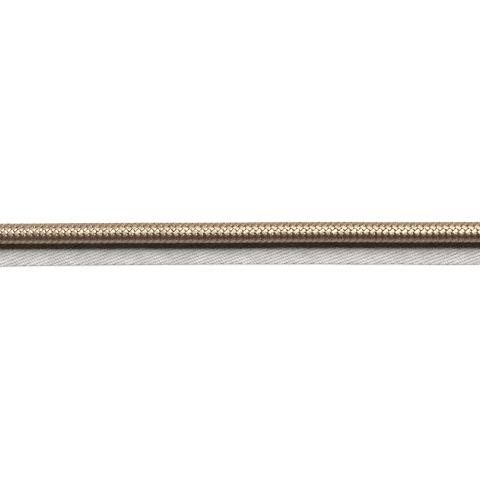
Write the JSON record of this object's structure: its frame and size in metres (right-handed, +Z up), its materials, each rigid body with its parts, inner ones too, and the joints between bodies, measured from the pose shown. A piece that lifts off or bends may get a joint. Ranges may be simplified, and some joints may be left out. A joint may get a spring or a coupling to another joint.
{
  "type": "silk lip cord",
  "caption": "Braided silk cord sewn along a woven twill lip tape, a short cut length lying flat.",
  "frame": {"origin": "on the tape's underside, below the cord, at the middle of the length", "axes": "+X along the cord, -Y from the cord towards the lip's outer edge, +Z up from the surface"},
  "size_m": [0.1272, 0.0112, 0.0061],
  "materials": {
    "silk_braid": "light brown silk in flat bundles, satin sheen along the threads",
    "twill_tape": "matt off-white cotton twill",
    "seam_thread": "matt off-white sewing thread"
  },
  "bodies": {
    "root": {"braided_cord": "silk_braid", "lip_tape": "twill_tape"}
  },
  "joints": []
}
